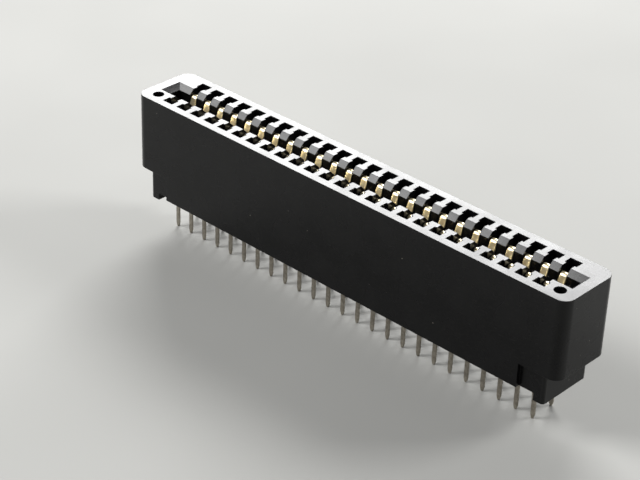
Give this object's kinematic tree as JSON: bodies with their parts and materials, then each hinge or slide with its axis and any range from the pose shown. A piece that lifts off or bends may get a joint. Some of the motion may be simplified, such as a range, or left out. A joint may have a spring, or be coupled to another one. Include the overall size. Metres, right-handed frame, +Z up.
{
  "type": "card edge connector",
  "caption": "Straight board-mounted card edge connector: a black moulded slot with two facing rows of sprung gold-plated contacts and flat solder tails.",
  "frame": {"origin": "middle of the rectangle that the solder tails stand on, at the height of their tips, below the centre of the slot", "axes": "+X along the slot, +Y across it, away from the side with the two blind holes, +Z up, out of the slot's mouth"},
  "size_m": [0.0706, 0.0094, 0.0194],
  "materials": {
    "housing": "black glass-filled polyester, moulded, satin",
    "contact": "stamped phosphor bronze strip, gold-plated where it touches, tin-plated at the tail"
  },
  "bodies": {
    "root": {"housing": "housing", "contact_a01": "contact", "contact_a02": "contact", "contact_a03": "contact", "contact_a04": "contact", "contact_a05": "contact", "contact_a06": "contact", "contact_a07": "contact", "contact_a08": "contact", "contact_a09": "contact", "contact_a10": "contact", "contact_a11": "contact", "contact_a12": "contact", "contact_a13": "contact", "contact_a14": "contact", "contact_a15": "contact", "contact_a16": "contact", "contact_a17": "contact", "contact_a18": "contact", "contact_a19": "contact", "contact_a20": "contact", "contact_a21": "contact", "contact_a22": "contact", "contact_a23": "contact", "contact_a24": "contact", "contact_a25": "contact", "contact_b01": "contact", "contact_b02": "contact", "contact_b03": "contact", "contact_b04": "contact", "contact_b05": "contact", "contact_b06": "contact", "contact_b07": "contact", "contact_b08": "contact", "contact_b09": "contact", "contact_b10": "contact", "contact_b11": "contact", "contact_b12": "contact", "contact_b13": "contact", "contact_b14": "contact", "contact_b15": "contact", "contact_b16": "contact", "contact_b17": "contact", "contact_b18": "contact", "contact_b19": "contact", "contact_b20": "contact", "contact_b21": "contact", "contact_b22": "contact", "contact_b23": "contact", "contact_b24": "contact", "contact_b25": "contact"}
  },
  "joints": []
}
